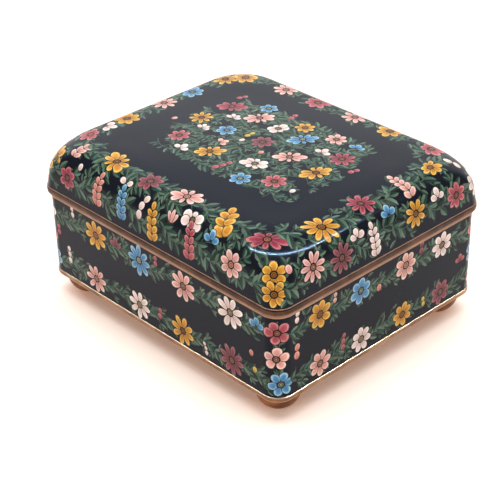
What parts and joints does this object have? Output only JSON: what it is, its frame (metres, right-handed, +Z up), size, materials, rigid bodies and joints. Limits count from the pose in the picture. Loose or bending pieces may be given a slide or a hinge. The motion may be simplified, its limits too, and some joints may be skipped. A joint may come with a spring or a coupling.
{
  "type": "cloisonne enamel box",
  "caption": "Rectangular enamelled metal box with floral cloisonne decoration, a domed lift-off lid, copper rims and low ball feet.",
  "frame": {"origin": "on the floor under the middle of the box", "axes": "+Z up, +X along the long side, +Y along the short side towards the back"},
  "size_m": [0.1208, 0.1008, 0.0619],
  "materials": {
    "enamel": "polished blue-black glass enamel with flowers and leaves in wired cells",
    "rim_copper": "aged brown copper, satin, rubbed along the edge",
    "foot_copper": "aged golden-brown copper, satin"
  },
  "bodies": {
    "root": {"foot_front_left": "foot_copper", "foot_front_right": "foot_copper", "foot_back_left": "foot_copper", "foot_back_right": "foot_copper", "base_band": "foot_copper", "box_body": "enamel", "box_rim": "rim_copper", "lid_rim": "rim_copper", "lid": "enamel"}
  },
  "joints": []
}
